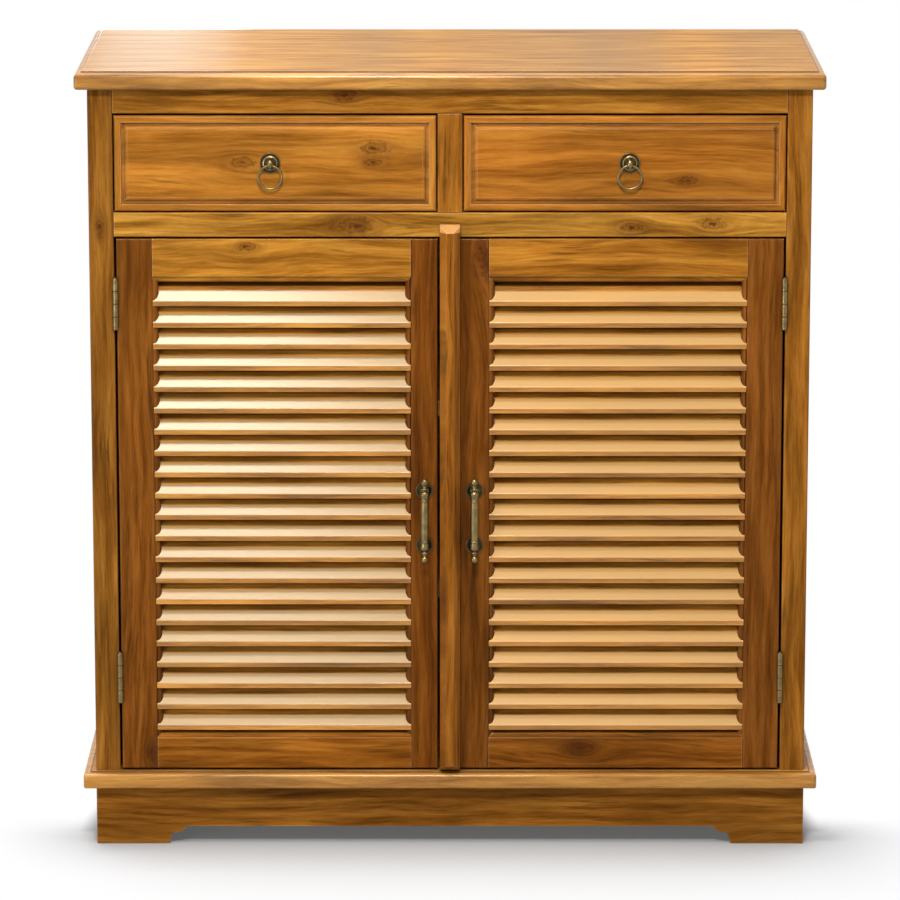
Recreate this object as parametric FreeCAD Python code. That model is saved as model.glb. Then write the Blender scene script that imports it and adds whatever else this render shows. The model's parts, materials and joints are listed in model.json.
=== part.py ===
"""Louvred door cabinet: two drawers over a pair of louvred doors, on a bracket-foot plinth.

Millimetres. +Z is up, the doors face -Y, and +X is to the right of someone facing the doors.
The origin is on the floor, under the middle of the top board.
Each piece of the cabinet is a solid of its own, and each node is written to parts/NODE.step.
"""

import FreeCAD, Part
import math
import os

V = FreeCAD.Vector

# ---------------------------------------------------------------------------------------
# Driving sizes
# ---------------------------------------------------------------------------------------

# Case: two side frames joined by front and rear rails
case_width = 870.0
case_depth = 375.0
post_width = 30.0
post_depth = 45.0
top_rail_height = 30.0
drawer_opening_height = 120.0
middle_rail_height = 30.0
door_opening_height = 664.0
divider_width = 30.0
front_rail_thickness = 22.0
rear_rail_height = 30.0
side_rail_height = 50.0
side_rail_thickness = 20.0
side_panel_thickness = 8.0
back_thickness = 6.0
back_rebate = 8.0

# Joints in the wood
tenon_length = 15.0
tenon_thickness = 8.0
tenon_shoulder = 5.0
groove_depth = 8.0
glue_room = 0.1
arris = 1.2
past = 1.0  # how far a cut runs past the face that it opens

# Turned and bent pieces are worked out with flat sides, which keeps them light
turned_sides = 20
barrel_sides = 12
ring_sides = 28
ring_wire_sides = 6

# Top board and base board
overhang = 15.0
top_rear_overhang = 10.0
top_thickness = 22.0
base_thickness = 20.0
nose_quirk_inset = 9.0
nose_quirk_height = 1.4
top_nose_upper_radius = 7.0
top_nose_lower_radius = 5.0
base_nose_upper_radius = 5.0
base_nose_lower_radius = 2.5
board_corner_radius = 5.0

# Plinth with bracket feet
plinth_height = 74.0
plinth_thickness = 20.0
foot_length = 89.0
foot_rise = 22.0
foot_riser_height = 13.0
foot_riser_lean = 4.0
foot_step_length = 13.0
foot_step_rise = 3.0
foot_curve_reach = 5.5
foot_rounding = 2.5
corner_block = 25.0
corner_block_length = 60.0

# Doors
door_thickness = 25.0
door_gap = 2.0
hinge_gap = 2.6
meeting_gap = 2.6
outer_stile_flat = 43.0
louvre_field_inner = 47.0
upper_rail_flat = 46.6
lower_rail_flat = 39.5
door_tenon_length = 25.0

# Moulding worked on the inner edges of the door frames
bead_width = 7.0
bead_radius = 6.5
bead_quirk = 1.2
bead_flats = 4

# Slats, housed in the stiles, with their noses lapping the moulding
slat_thickness = 4.0
slat_angle = 52.0
slat_depth = 17.0
slat_nominal_pitch = 26.45
slat_top_space = 36.2
slat_foot_space = 9.0
housing_depth = 6.0
housing_room = 0.15
housing_behind_bead = 0.5
scribe_room = 0.3

# Cover strip on the right door
strip_width = 24.5
strip_thickness = 20.0
strip_side_bevel = 7.4
strip_side_bevel_depth = 9.0
strip_end_bevel_height = 7.6
strip_end_bevel_depth = 12.3
strip_lap_up = 16.0
strip_face_room = 0.4

# Butt hinges, with their barrels proud of the doors
hinge_length = 63.0
hinge_knuckles = 4
hinge_barrel_radius = 3.5
hinge_pin_radius = 1.5
hinge_pin_room = 0.05
hinge_leaf_thickness = 1.2
hinge_leaf_width = 18.0
hinge_knuckle_room = 0.2
hinge_barrel_room = 0.3
upper_hinge_below_opening_top = 81.0
lower_hinge_above_opening_floor = 118.0

# Door handles; the grip's outline is (along, radius) from its middle to its tip
handle_outline = [(0, 4.1), (27.2, 3.2), (28.4, 5.6), (30.2, 4.9), (40.8, 4.3), (43.6, 2.2),
                  (46.6, 4.6), (50.4, 4.6), (53.0, 1.6)]
handle_post_spacing = 68.0
handle_height_above_opening_floor = 318.0
handle_standoff = 20.0
handle_post_radius = 2.8
handle_rose_outline = [(0, 10.8), (1.4, 10.8), (2.0, 7.6), (4.0, 4.0)]

# Magnetic catches under the middle rail
catch_width = 40.0
catch_depth = 14.0
catch_height = 13.0
catch_air = 0.3
catch_plate_thickness = 1.0
catch_plate_width = 30.0
catch_plate_height = 12.0
catch_plate_below_door_top = 0.5
catch_from_field = 24.0

# Drawers
drawer_side_gap = 1.5
drawer_top_gap = 2.5
drawer_bottom_gap = 1.5
drawer_box_room = 2.0
drawer_run_room = 0.3
drawer_front_thickness = 20.0
drawer_back_room = 17.0
drawer_side_thickness = 12.0
drawer_side_height = 114.0
drawer_bottom_thickness = 5.0
drawer_bottom_height = 10.0
drawer_groove_depth = 5.0
edging_width = 8.5
edging_arris = 2.2
panel_quirk_depth = 4.2
panel_quirk_width = 3.4
panel_bevel_width = 2.6
panel_bevel_rise = 3.0
panel_fillet_width = 1.5
panel_ledge = 0.6
panel_field_setback = 0.4

# Ring pulls; the rose's outline is (along, radius) outwards, and the eye's is upwards
pull_outward = 6.0
rose_outline = [(0, 12.5), (1.2, 12.5), (2.0, 9.6), (2.8, 6.4), (4.4, 2.0)]
pull_stem_radius = 2.0
pull_bolt_length = 19.0
eye_outline = [(-7.2, 0.8), (-2.0, 3.4), (1.0, 3.6), (4.6, 2.6), (6.0, 0.8)]
eye_standoff = 8.0
eye_bore_radius = 2.15
ring_outer_radius = 15.6
ring_wire_radius = 1.5
ring_below_rose = 2.0

# Inside
runner_width = 20.0
runner_height = 20.0
centre_runner_width = 60.0
guide_height = 18.0
shelf_thickness = 18.0
shelf_side_room = 0.5
shelf_cleat = 20.0
shelf_behind_door = 10.0
shelves = ["shelf_lower", "shelf_upper"]

# ---------------------------------------------------------------------------------------
# Levels and planes that several pieces share
# ---------------------------------------------------------------------------------------

half_case = case_width / 2
opening_half = half_case - post_width
top_width = case_width + 2 * overhang
top_depth = case_depth + overhang + top_rear_overhang

front_y = -top_depth / 2 + overhang
back_y = top_depth / 2 - top_rear_overhang
rear_rail_back = back_y - back_thickness
rear_rail_front = rear_rail_back - front_rail_thickness
front_post_back = front_y + post_depth
rear_post_front = back_y - post_depth

floor_z = plinth_height + base_thickness
door_top_z = floor_z + door_opening_height
middle_top_z = door_top_z + middle_rail_height
drawer_top_z = middle_top_z + drawer_opening_height
case_top_z = drawer_top_z + top_rail_height

panel_x = half_case - side_rail_thickness / 2

door_low = floor_z + door_gap
door_high = door_top_z - door_gap
door_back = front_y + door_thickness
door_edge = opening_half - hinge_gap
field_inner = louvre_field_inner
field_outer = door_edge - outer_stile_flat
field_width = field_outer - field_inner
field_half = field_width / 2
field_centre = field_inner + field_half
field_low = door_low + lower_rail_flat
field_high = door_high - upper_rail_flat

slope = math.tan(math.radians(slat_angle))
slat_upright_thickness = slat_thickness / math.cos(math.radians(slat_angle))
slat_span = field_high - slat_top_space - field_low - slat_foot_space
slat_count = round(slat_span / slat_nominal_pitch) + 1
slat_pitch = slat_span / (slat_count - 1)
slat_levels = [field_low + slat_foot_space + slat_pitch * i for i in range(slat_count)]
housing_front = front_y + bead_quirk + bead_radius + housing_behind_bead

barrel_x = opening_half - hinge_gap / 2
barrel_y = front_y - hinge_barrel_radius - hinge_barrel_room
hinge_levels = [floor_z + lower_hinge_above_opening_floor,
                door_top_z - upper_hinge_below_opening_top]

nodes = {}


# ---------------------------------------------------------------------------------------
# Shaping
# ---------------------------------------------------------------------------------------

PLANES = {
    "xy": (lambda a, b: V(a, b, 0), V(0, 0, 1)),
    "xz": (lambda a, b: V(a, 0, b), V(0, 1, 0)),
    "yz": (lambda a, b: V(0, a, b), V(1, 0, 0)),
}


def block(x, y, z):
    """A block between two bounds on each axis."""
    low = V(min(x), min(y), min(z))
    high = V(max(x), max(y), max(z))
    size = high - low
    return Part.makeBox(size.x, size.y, size.z, low)


def rounded_wire(corners):
    """A closed wire through (point, radius) corners; a tangent arc rounds each one."""
    bends = []
    for i, (corner, radius) in enumerate(corners):
        before = corners[i - 1][0] - corner
        after = corners[(i + 1) % len(corners)][0] - corner
        before.normalize()
        after.normalize()
        if radius == 0:
            bends.append((corner, None, corner))
            continue
        half_angle = before.getAngle(after) / 2
        setback = radius / math.tan(half_angle)
        inward = before + after
        inward.normalize()
        middle = corner + inward * (radius / math.sin(half_angle) - radius)
        bends.append((corner + before * setback, middle, corner + after * setback))
    edges = []
    for i, (start, middle, end) in enumerate(bends):
        if middle is not None:
            edges.append(Part.Arc(start, middle, end).toShape())
        following = bends[(i + 1) % len(bends)][0]
        if end.distanceToPoint(following) > 1e-6:
            edges.append(Part.LineSegment(end, following).toShape())
    return Part.Wire(Part.__sortEdges__(edges))


def extruded(plane, corners, low, high):
    """An outline of (a, b) or (a, b, radius) corners, pushed along the plane's normal."""
    place, normal = PLANES[plane]
    wire = rounded_wire([(place(c[0], c[1]), c[2] if len(c) > 2 else 0) for c in corners])
    wire.translate(normal * low)
    return Part.Face(wire).extrude(normal * (high - low))


def closed_solid(faces):
    """A solid from the flat faces that close it."""
    solid = Part.Solid(Part.Shell(faces))
    if solid.Volume < 0:
        solid.reverse()
    return solid


def polygon(points):
    """A flat face through the points."""
    return Part.Face(Part.makePolygon([*points, points[0]]))


def turned(outline, centre, axis, sides=turned_sides):
    """A turned piece with flat sides: its outline holds (along, radius) points along the axis."""
    turn = FreeCAD.Rotation(V(0, 0, 1), axis)
    angles = [2 * math.pi * i / sides for i in range(sides)]
    rounds = [[centre + turn.multVec(V(radius * math.cos(a), radius * math.sin(a), along)) for a in angles]
              for along, radius in outline]
    faces = [polygon(rounds[0]), polygon(rounds[-1])]
    for below, above in zip(rounds, rounds[1:]):
        faces += [polygon([below[i - 1], below[i], above[i], above[i - 1]]) for i in range(sides)]
    return closed_solid(faces)


def hoop(radius, wire_radius, centre):
    """A ring of wire about a line along Y."""
    bends = [2 * math.pi * i / ring_sides for i in range(ring_sides)]
    turns = [2 * math.pi * i / ring_wire_sides for i in range(ring_wire_sides)]
    section = [(radius + wire_radius * math.cos(t), wire_radius * math.sin(t)) for t in turns]
    rounds = [[centre + V(out * math.cos(b), along, out * math.sin(b)) for out, along in section]
              for b in bends]
    return closed_solid([polygon([rounds[i - 1][j - 1], rounds[i - 1][j], rounds[i][j], rounds[i][j - 1]])
                         for i in range(ring_sides) for j in range(ring_wire_sides)])


def bar(radius, start, end, sides=turned_sides):
    """A round bar between two points."""
    along = end - start
    return turned([(0, radius), (along.Length, radius)], start, along, sides)


def round_hole(radius, start, end, sides=turned_sides):
    """What a round hole takes away; its flats lie outside the stated radius."""
    return bar(radius / math.cos(math.pi / sides), start, end, sides)


def mirrored(shape):
    """The same piece on the other side of the cabinet."""
    return shape.mirror(V(0, 0, 0), V(1, 0, 0))


def moved(shape, x=0, y=0, z=0):
    """A copy of a piece, shifted."""
    return shape.translated(V(x, y, z))


def eased(across, depth, place, low, high):
    """A member whose two front arrises are taken off; place is the plane of its section."""
    (a, b), (front, back) = across, depth
    section = [(a + arris, front), (b - arris, front), (b, front + arris), (b, back), (a, back),
               (a, front + arris)]
    if place == "yz":
        section = [(y, z) for z, y in section]
    return extruded(place, section, low, high)


def upright(x, y, z):
    """A vertical member with its front arrises eased."""
    return eased(x, y, "xy", *z)


def rail(x, y, z):
    """A member along X with its front arrises eased."""
    return eased(z, y, "yz", *x)


def grown(bounds, room):
    """Bounds with room added at both ends."""
    return (min(bounds) - room, max(bounds) + room)


def mortise(x, y, z):
    """The room for a tenon of these bounds."""
    return block(grown(x, glue_room), grown(y, glue_room), grown(z, glue_room))


def keep(name, *solids):
    """Files the solids of one node under its name."""
    nodes[name] = solids[0] if len(solids) == 1 else Part.makeCompound(list(solids))


# ---------------------------------------------------------------------------------------
# Carcass
# ---------------------------------------------------------------------------------------

def rail_tenon(y_front, z_low, z_high, thickness):
    """Bounds of the tenon that a front or rear rail has in the right-hand post."""
    x = (opening_half, opening_half + tenon_length)
    y = (y_front, y_front + thickness)
    z = (z_low + tenon_shoulder, z_high - tenon_shoulder)
    return x, y, z


top_rail_z = (drawer_top_z, case_top_z)
middle_rail_z = (door_top_z, middle_top_z)
top_rail_tenon = rail_tenon(front_y + (front_rail_thickness - tenon_thickness) / 2,
                            *top_rail_z, tenon_thickness)
middle_rail_tenon = rail_tenon(front_y + (post_depth - 2 * tenon_thickness) / 2,
                               *middle_rail_z, 2 * tenon_thickness)
rear_rail_levels = [(floor_z, floor_z + rear_rail_height), middle_rail_z, top_rail_z]
rear_rail_tenons = [rail_tenon(rear_rail_front + (front_rail_thickness - tenon_thickness) / 2,
                               *level, tenon_thickness) for level in rear_rail_levels]
side_rail_levels = [(floor_z, floor_z + side_rail_height),
                    (case_top_z - side_rail_height, case_top_z)]
panel_z = (floor_z + side_rail_height - groove_depth, case_top_z - side_rail_height + groove_depth)
panel_x_bounds = (panel_x - side_panel_thickness / 2, panel_x + side_panel_thickness / 2)
side_tenon_x = (panel_x - tenon_thickness / 2, panel_x + tenon_thickness / 2)


def side_tenon_z(level):
    """A side rail's tenon keeps clear of the panel's groove."""
    low, high = level
    if low == floor_z:
        return low + tenon_shoulder, high - groove_depth - tenon_shoulder
    return low + groove_depth + tenon_shoulder, high - tenon_shoulder


def front_post():
    """The right-hand front post, mortised for the rails and grooved for the side panel."""
    post = upright((opening_half, half_case), (front_y, front_post_back), (floor_z, case_top_z))
    cuts = [mortise(*top_rail_tenon), mortise(*middle_rail_tenon)]
    cuts.append(block(panel_x_bounds, (front_post_back - groove_depth, front_post_back + past), panel_z))
    for level in side_rail_levels:
        reach = (front_post_back - tenon_length, front_post_back + past)
        cuts.append(mortise(side_tenon_x, reach, side_tenon_z(level)))
    return post.cut(cuts)


def rear_post():
    """The right-hand rear post, rebated for the back panel."""
    post = block((opening_half, half_case), (rear_post_front, back_y), (floor_z, case_top_z))
    cuts = [mortise(*tenon) for tenon in rear_rail_tenons]
    cuts.append(block(panel_x_bounds, (rear_post_front - past, rear_post_front + groove_depth), panel_z))
    cuts.append(block((opening_half - past, opening_half + back_rebate), (rear_rail_back, back_y + past),
                      grown((floor_z, case_top_z), past)))
    for level in side_rail_levels:
        reach = (rear_post_front - past, rear_post_front + tenon_length)
        cuts.append(mortise(side_tenon_x, reach, side_tenon_z(level)))
    return post.cut(cuts)


def side_rail(level):
    """A rail of the right-hand side frame, with its tenons and the panel's groove."""
    solid = block((half_case - side_rail_thickness, half_case), (front_post_back, rear_post_front), level)
    tenon_y = (front_post_back - tenon_length, rear_post_front + tenon_length)
    solid = solid.fuse(block(side_tenon_x, tenon_y, side_tenon_z(level))).removeSplitter()
    groove_z = (level[1] - groove_depth, level[1] + past)
    if level[0] != floor_z:
        groove_z = (level[0] - past, level[0] + groove_depth)
    return solid.cut(block(panel_x_bounds, (front_post_back, rear_post_front), groove_z))


def side_panel():
    """The right-hand panel, its edges in the grooves of the posts and rails."""
    y = (front_post_back - groove_depth, rear_post_front + groove_depth)
    return block(panel_x_bounds, y, panel_z)


def cross_rail(solid, tenon):
    """A rail between the posts, given a tenon at each end."""
    end = block(*tenon)
    return solid.fuse([end, mirrored(end)]).removeSplitter()


divider_tenon_x = (-divider_width / 2 + tenon_shoulder, divider_width / 2 - tenon_shoulder)
divider_tenon_y = top_rail_tenon[1]
divider_tenon_z = (middle_top_z - tenon_length / 2, drawer_top_z + tenon_length / 2)


def carcass_frame():
    """Posts, rails, divider and side panels."""
    keep("front_post_right", front_post())
    keep("front_post_left", mirrored(front_post()))
    keep("rear_posts", rear_post(), mirrored(rear_post()))
    side_rails = [side_rail(level) for level in side_rail_levels]
    keep("side_rails", *side_rails, *[mirrored(piece) for piece in side_rails])
    keep("side_panel_right", side_panel())
    keep("side_panel_left", mirrored(side_panel()))

    span = (-opening_half, opening_half)
    divider_mortise = mortise(divider_tenon_x, divider_tenon_y, divider_tenon_z)
    front = (front_y, front_y + front_rail_thickness)
    keep("top_rail", cross_rail(rail(span, front, top_rail_z), top_rail_tenon).cut(divider_mortise))
    deep = (front_y, front_post_back)
    keep("middle_rail",
         cross_rail(rail(span, deep, middle_rail_z), middle_rail_tenon).cut(divider_mortise))
    divider = upright((-divider_width / 2, divider_width / 2), front, (middle_top_z, drawer_top_z))
    divider_tenons = block(divider_tenon_x, divider_tenon_y, divider_tenon_z)
    keep("drawer_divider", divider.fuse(divider_tenons).removeSplitter())

    rear = (rear_rail_front, rear_rail_back)
    keep("rear_rails", *[cross_rail(block(span, rear, level), tenon)
                         for level, tenon in zip(rear_rail_levels, rear_rail_tenons)])
    back_half = opening_half + back_rebate
    keep("back_panel", block((-back_half, back_half), (rear_rail_back, back_y), (floor_z, case_top_z)))


def nosed_board(half_width, front, back, low, thickness, upper_radius, lower_radius):
    """A board with a quirk and a round nose on its front and both ends, and a square back."""
    high = low + thickness
    shoulder = high - nose_quirk_height
    inset = nose_quirk_inset
    corner = board_corner_radius
    side_view = [(back, low), (front, low, lower_radius), (front, shoulder, upper_radius),
                 (front + inset, shoulder), (front + inset, high), (back, high)]
    left_end = [(-half_width, low, lower_radius), (-half_width, shoulder, upper_radius),
                (-half_width + inset, shoulder), (-half_width + inset, high)]
    right_end = [(-corner[0], *corner[1:]) for corner in left_end[::-1]]
    plan = [(-half_width, front, corner), (half_width, front, corner), (half_width, back),
            (-half_width, back)]
    board = extruded("yz", side_view, -half_width, half_width)
    board = board.common(extruded("xz", left_end + right_end, front, back))
    return board.common(extruded("xy", plan, low, high))


def boards():
    """Top board and base board."""
    keep("top_board", nosed_board(top_width / 2, -top_depth / 2, top_depth / 2, case_top_z, top_thickness,
                                  top_nose_upper_radius, top_nose_lower_radius))
    keep("base_board", nosed_board(top_width / 2, -top_depth / 2, back_y, plinth_height, base_thickness,
                                   base_nose_upper_radius, base_nose_lower_radius))


def bracket(end, direction):
    """Corners of a bracket foot's inner edge, from the floor up, for a foot that ends at `end`."""
    riser = end + direction * foot_riser_lean
    step = riser + direction * foot_step_length
    curve = step + direction * foot_curve_reach
    return [(end, 0),
            (riser, foot_riser_height, foot_rounding),
            (step, foot_riser_height + foot_step_rise),
            (curve, foot_rise, foot_rounding)]


def plinth():
    """Four boards under the base board, with corner blocks behind the joints."""
    inner_y = front_y + plinth_thickness
    inner_x = half_case - plinth_thickness
    left = bracket(-half_case + foot_length, 1)
    right = bracket(half_case - foot_length, -1)
    outline = [(-half_case, plinth_height), (-half_case, 0), *left, *right[::-1],
               (half_case, 0), (half_case, plinth_height)]
    keep("plinth_front", extruded("xz", outline, front_y, inner_y))

    fore = bracket(front_y + foot_length, 1)
    aft = bracket(back_y - foot_length, -1)
    side = extruded("yz", [(inner_y, plinth_height), (inner_y, 0), *fore, *aft[::-1],
                           (back_y, 0), (back_y, plinth_height)], inner_x, half_case)
    keep("plinth_right", side)
    keep("plinth_left", mirrored(side))
    keep("plinth_rear", block((-inner_x, inner_x), (back_y - plinth_thickness, back_y),
                              (foot_rise, plinth_height)))

    blocks = []
    for y in [(inner_y, inner_y + corner_block),
              (back_y - plinth_thickness - corner_block, back_y - plinth_thickness)]:
        piece = block((inner_x - corner_block, inner_x), y,
                      (plinth_height - corner_block_length, plinth_height))
        blocks += [piece, mirrored(piece)]
    keep("corner_blocks", *blocks)


shelf_rise = (door_opening_height + shelf_thickness) / (len(shelves) + 1)
shelf_levels = [floor_z - shelf_thickness + shelf_rise * (i + 1) for i in range(len(shelves))]


def inside():
    """Cleats, drawer runners and shelves."""
    side_x = (opening_half - runner_width, opening_half)
    cleat = block(side_x, (front_y + front_rail_thickness, rear_rail_front), top_rail_z)
    middle = block((-divider_width / 2, divider_width / 2),
                   (front_y + front_rail_thickness, rear_rail_front), top_rail_z)
    keep("top_cleats", cleat, middle, mirrored(cleat))

    run_y = (front_post_back, rear_rail_front)
    run_z = (middle_top_z - runner_height, middle_top_z)
    runner = block(side_x, run_y, run_z)
    foot = block((-centre_runner_width / 2, centre_runner_width / 2), run_y, run_z)
    rib_z = (middle_top_z, middle_top_z + guide_height)
    rib = block((-divider_width / 2, divider_width / 2), run_y, rib_z)
    keep("drawer_runners", runner, foot.fuse(rib).removeSplitter(), mirrored(runner))

    shelf_y = (door_back + shelf_behind_door, rear_rail_back)
    shelf_half = opening_half - shelf_side_room
    cleats = []
    for name, level in zip(shelves, shelf_levels):
        keep(name, block((-shelf_half, shelf_half), shelf_y, (level, level + shelf_thickness)))
        piece = block((opening_half - shelf_cleat, opening_half), shelf_y, (level - shelf_cleat, level))
        cleats += [piece, mirrored(piece)]
    keep("shelf_cleats", *cleats)


# ---------------------------------------------------------------------------------------
# Hinges
# ---------------------------------------------------------------------------------------

knuckle_height = hinge_length / hinge_knuckles


def hinge_leaf(level, side, first_knuckle):
    """A leaf at the right-hand door: side +1 lies on the post and -1 on the door's edge."""
    low = level - hinge_length / 2
    plate_x = (barrel_x + side * (hinge_gap / 2 - hinge_leaf_thickness), barrel_x + side * hinge_gap / 2)
    leaf = block(plate_x, (front_y, front_y + hinge_leaf_width), (low, low + hinge_length))
    knuckles = []
    for i in range(first_knuckle, hinge_knuckles, 2):
        foot = low + i * knuckle_height + hinge_knuckle_room / 2
        height = knuckle_height - hinge_knuckle_room
        centre = V(barrel_x, barrel_y, foot)
        knuckles.append(bar(hinge_barrel_radius, centre, centre + V(0, 0, height), barrel_sides))
        knuckles.append(block(plate_x, (barrel_y, front_y), (foot, foot + height)))
    leaf = leaf.fuse(knuckles)
    bore = round_hole(hinge_pin_radius + hinge_pin_room, V(barrel_x, barrel_y, low - past),
                      V(barrel_x, barrel_y, low + hinge_length + past), barrel_sides)
    return leaf.cut(bore).removeSplitter()


def frame_hinges():
    """The leaves and pins that stay on the posts."""
    leaves = [hinge_leaf(level, 1, 1) for level in hinge_levels]
    keep("hinge_frame_leaves", *leaves, *[mirrored(leaf) for leaf in leaves])
    pins = [Part.makeCylinder(hinge_pin_radius, hinge_length, V(barrel_x, barrel_y, level - hinge_length / 2))
            for level in hinge_levels]
    keep("hinge_pins", *pins, *[mirrored(pin) for pin in pins])


# ---------------------------------------------------------------------------------------
# Doors, worked out at the right-hand side, on a louvre field centred on x = 0
# ---------------------------------------------------------------------------------------

def quarter_round(radius):
    """Points round the middle of the moulding's curve, from its front to its side."""
    steps = [math.pi / 2 * i / bead_flats for i in range(bead_flats + 1)]
    return [(-radius * math.sin(a), -radius * math.cos(a)) for a in steps]


def bead_corners(edge, inward):
    """Section of the moulding on a frame member whose flat ends at `edge`."""
    tip = edge + inward * bead_width
    top = front_y + bead_quirk
    curve = [(tip - inward * (bead_radius + across), top + bead_radius + depth)
             for across, depth in quarter_round(bead_radius)]
    return [(edge, top), *curve, (tip, door_back), (edge, door_back)]


def stile_bead():
    """Moulding on the stile at +X, mitred at its ends."""
    strip = extruded("xy", bead_corners(field_half, -1), field_low, field_high)
    mitres = extruded("xz", [(field_half, field_low), (field_half, field_high),
                             (field_half - bead_width, field_high - bead_width),
                             (field_half - bead_width, field_low + bead_width)], front_y, door_back)
    return strip.common(mitres)


def rail_bead(edge, inward):
    """Moulding on a door rail whose flat ends at height `edge`, mitred at its ends."""
    corners = [(y, z) for z, y in bead_corners(edge, inward)]
    strip = extruded("yz", corners, -field_half, field_half)
    inner = field_half - bead_width
    tip = edge + inward * bead_width
    mitres = extruded("xz", [(-field_half, edge), (field_half, edge), (inner, tip), (-inner, tip)],
                      front_y, door_back)
    return strip.common(mitres)


def door_tenon(level):
    """Bounds of the tenon that a door rail has in the stile at +X."""
    y_front = front_y + (door_thickness - tenon_thickness) / 2
    return ((field_half, field_half + door_tenon_length), (y_front, y_front + tenon_thickness),
            (level[0] + tenon_shoulder, level[1] - tenon_shoulder))


upper_rail_z = (field_high, door_high)
lower_rail_z = (door_low, field_low)


def slat_section(nose_z, nose_y, tail_y, room):
    """Corners of a slat between two depths, its underside at nose_z where the nose begins."""
    reach = room / math.cos(math.radians(slat_angle))

    def underside(y):
        return nose_z + (y - front_y) * slope - reach

    def top(y):
        return underside(y) + slat_upright_thickness + 2 * reach

    nose = [(nose_y, underside(nose_y)), (nose_y, top(nose_y))]
    return nose + [(tail_y, top(tail_y)), (tail_y, underside(tail_y))]


def housing(nose_z):
    """The stopped housing that one slat's end has in the stile at +X."""
    stop = front_y + slat_depth + housing_room
    corners = slat_section(nose_z, housing_front - housing_room, stop, housing_room)
    inner = field_half - bead_width
    return extruded("yz", corners, inner - past, inner + housing_depth)


def stile(flat_width):
    """The stile at +X, with its moulding, the slats' housings and the rails' mortises."""
    solid = upright((field_half, field_half + flat_width), (front_y, door_back), (door_low, door_high))
    solid = solid.fuse(stile_bead()).removeSplitter()
    cuts = [housing(z) for z in slat_levels]
    cuts += [mortise(*door_tenon(level)) for level in [upper_rail_z, lower_rail_z]]
    return solid.cut(cuts)


def door_rail(level, edge, inward):
    """A rail between the stiles, with its moulding and tenons."""
    solid = rail((-field_half, field_half), (front_y, door_back), level)
    solid = solid.fuse(rail_bead(edge, inward))
    tenon = block(*door_tenon(level))
    return solid.fuse([tenon, mirrored(tenon)]).removeSplitter()


def scribe():
    """What is cut from a slat's end at +X, so that it laps the moulding and enters its housing."""
    room = scribe_room
    inner = field_half - bead_width
    tongue_end = inner + housing_depth - room
    beyond = field_half + bead_width
    curve = [(inner + bead_radius + across, front_y + bead_quirk + bead_radius + depth)
             for across, depth in quarter_round(bead_radius + room)]
    corners = [(beyond, curve[0][1]), *curve, (inner - room, housing_front),
               (tongue_end, housing_front), (tongue_end, door_back), (beyond, door_back)]
    return extruded("xy", corners, door_low, door_high)


def slat():
    """One slat with its nose at z = 0, before it is set at its level."""
    corners = slat_section(0, front_y, front_y + slat_depth, 0)
    solid = extruded("yz", corners, -field_half + scribe_room, field_half - scribe_room)
    waste = moved(scribe(), z=-door_low - slat_pitch)
    return solid.cut([waste, mirrored(waste)])


def field_to_case(shape):
    """From the louvre field's own middle to its place in the right-hand door."""
    return moved(shape, x=field_centre)


handle_z = floor_z + handle_height_above_opening_floor
handle_y = front_y - handle_standoff
handle_post_levels = [handle_z - handle_post_spacing / 2, handle_z + handle_post_spacing / 2]


def handle(x):
    """The turned grip with its two posts, at a stile's middle."""
    lower_half = [(-along, radius) for along, radius in handle_outline[:0:-1]]
    grip = turned(lower_half + handle_outline, V(x, handle_y, handle_z), V(0, 0, 1))
    posts = [bar(handle_post_radius, V(x, front_y, z), V(x, handle_y, z)) for z in handle_post_levels]
    return grip.fuse(posts).removeSplitter()


def handle_roses(x):
    """The stepped rose round each post."""
    roses = []
    for z in handle_post_levels:
        rose = turned(handle_rose_outline, V(x, front_y, z), V(0, -1, 0))
        roses.append(rose.cut(bar(handle_post_radius, V(x, front_y, z), V(x, handle_y, z))))
    return roses


def catch_plate():
    """The steel plate on the door's back that the catch holds."""
    x = field_inner + catch_from_field
    high = door_high - catch_plate_below_door_top
    return block((x, x + catch_plate_width), (door_back, door_back + catch_plate_thickness),
                 (high - catch_plate_height, high))


def catches():
    """The two magnetic catches under the middle rail."""
    x = field_inner + catch_from_field + (catch_plate_width - catch_width) / 2
    y = door_back + catch_plate_thickness + catch_air
    body = block((x, x + catch_width), (y, y + catch_depth), (door_top_z - catch_height, door_top_z))
    keep("magnet_catches", body, mirrored(body))


def door_handle_x(free_edge):
    """The handle stands at the middle of what shows of the inner stile."""
    return (max(free_edge, strip_width / 2) + field_inner) / 2


def door(name, free_edge, place):
    """A door whose meeting edge is at x = free_edge; place puts each piece on its side."""
    inner = mirrored(stile(field_inner - free_edge))
    keep(name + "_outer_stile", place(field_to_case(stile(outer_stile_flat))))
    keep(name + "_inner_stile", place(field_to_case(inner)))
    keep(name + "_upper_rail", place(field_to_case(door_rail(upper_rail_z, field_high, -1))))
    keep(name + "_lower_rail", place(field_to_case(door_rail(lower_rail_z, field_low, 1))))
    one = field_to_case(slat())
    keep(name + "_slats", *[place(moved(one, z=level)) for level in slat_levels])
    keep(name + "_hinge_leaves", *[place(hinge_leaf(level, -1, 0)) for level in hinge_levels])
    x = door_handle_x(free_edge)
    keep(name + "_handle", place(handle(x)))
    keep(name + "_handle_roses", *[place(rose) for rose in handle_roses(x)])
    keep(name + "_catch_plate", place(catch_plate()))


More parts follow.
